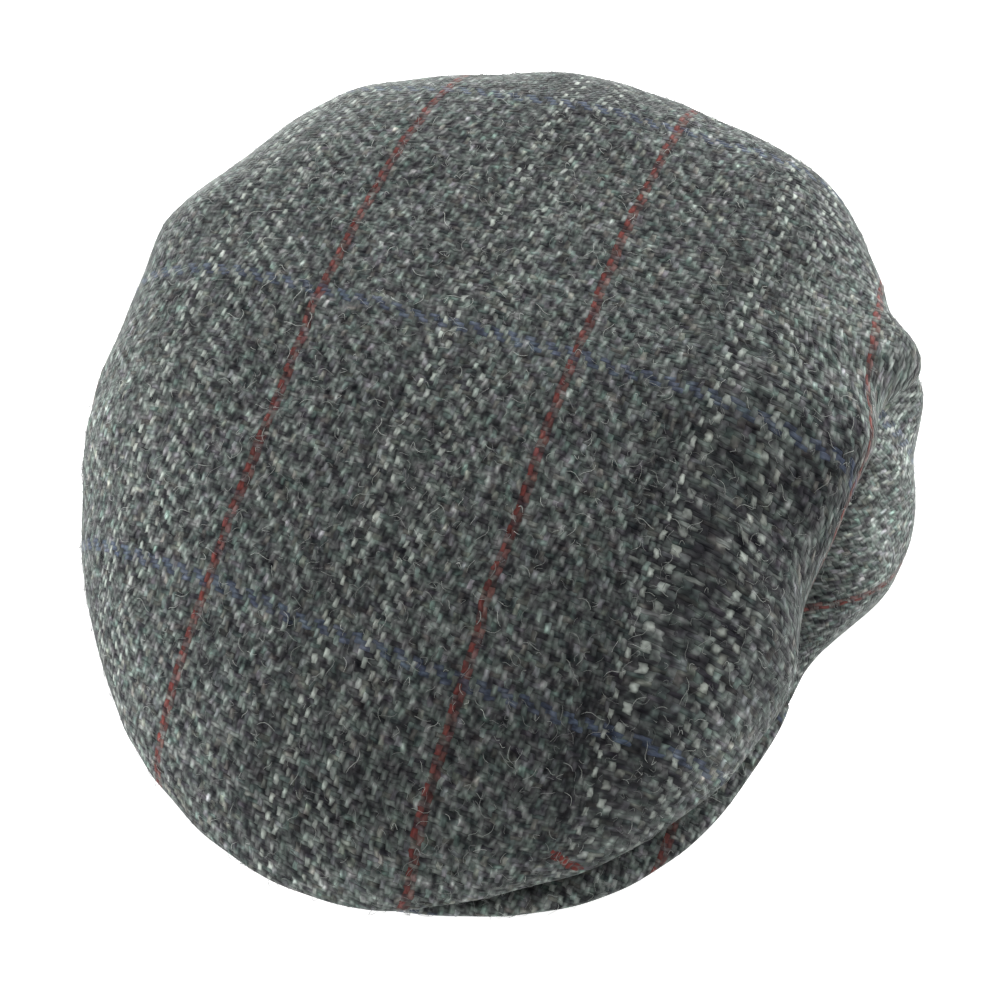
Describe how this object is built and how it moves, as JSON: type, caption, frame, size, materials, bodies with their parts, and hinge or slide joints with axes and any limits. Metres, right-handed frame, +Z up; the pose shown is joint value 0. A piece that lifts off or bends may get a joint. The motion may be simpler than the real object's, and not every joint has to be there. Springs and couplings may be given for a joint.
{
  "type": "flat cap",
  "caption": "Flat cap of tweed for a head of about 60 cm: rounded one-piece top, side panels with a turned hem and a short curved peak.",
  "frame": {"origin": "middle of the cap's footprint, on the surface that the hem and the peak's tips lie on", "axes": "+Z up, -Y towards the peak, +X towards the wearer's left"},
  "size_m": [0.2366, 0.2718, 0.088],
  "materials": {
    "tweed": "grey wool tweed with a thin red and blue overcheck",
    "peak_tweed": "the same tweed drawn over the peak's board"
  },
  "bodies": {
    "root": {"top_panel": "tweed", "side_panel_left": "tweed", "side_panel_right": "tweed", "peak": "peak_tweed"}
  },
  "joints": []
}
